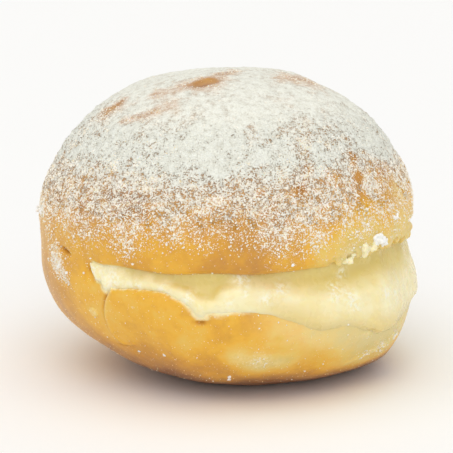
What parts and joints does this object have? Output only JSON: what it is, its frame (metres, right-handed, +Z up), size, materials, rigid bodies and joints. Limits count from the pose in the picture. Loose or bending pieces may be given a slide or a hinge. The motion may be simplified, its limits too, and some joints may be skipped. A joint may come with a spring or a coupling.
{
  "type": "cream-filled doughnut",
  "caption": "Round fried bun dusted with sugar, slit from the side and opened like a mouth around a wedge of pale yellow custard cream.",
  "frame": {"origin": "on the flat spot the bun rests on, straight below the middle of its dome", "axes": "+Z up, -Y towards the side where the cream shows best, +X towards the wide end of the slit"},
  "size_m": [0.0942, 0.0955, 0.0742],
  "materials": {
    "crust": "matte",
    "cream": "satin",
    "sugar": "matte"
  },
  "bodies": {
    "root": {"dough": "crust", "cream": "cream"}
  },
  "joints": []
}
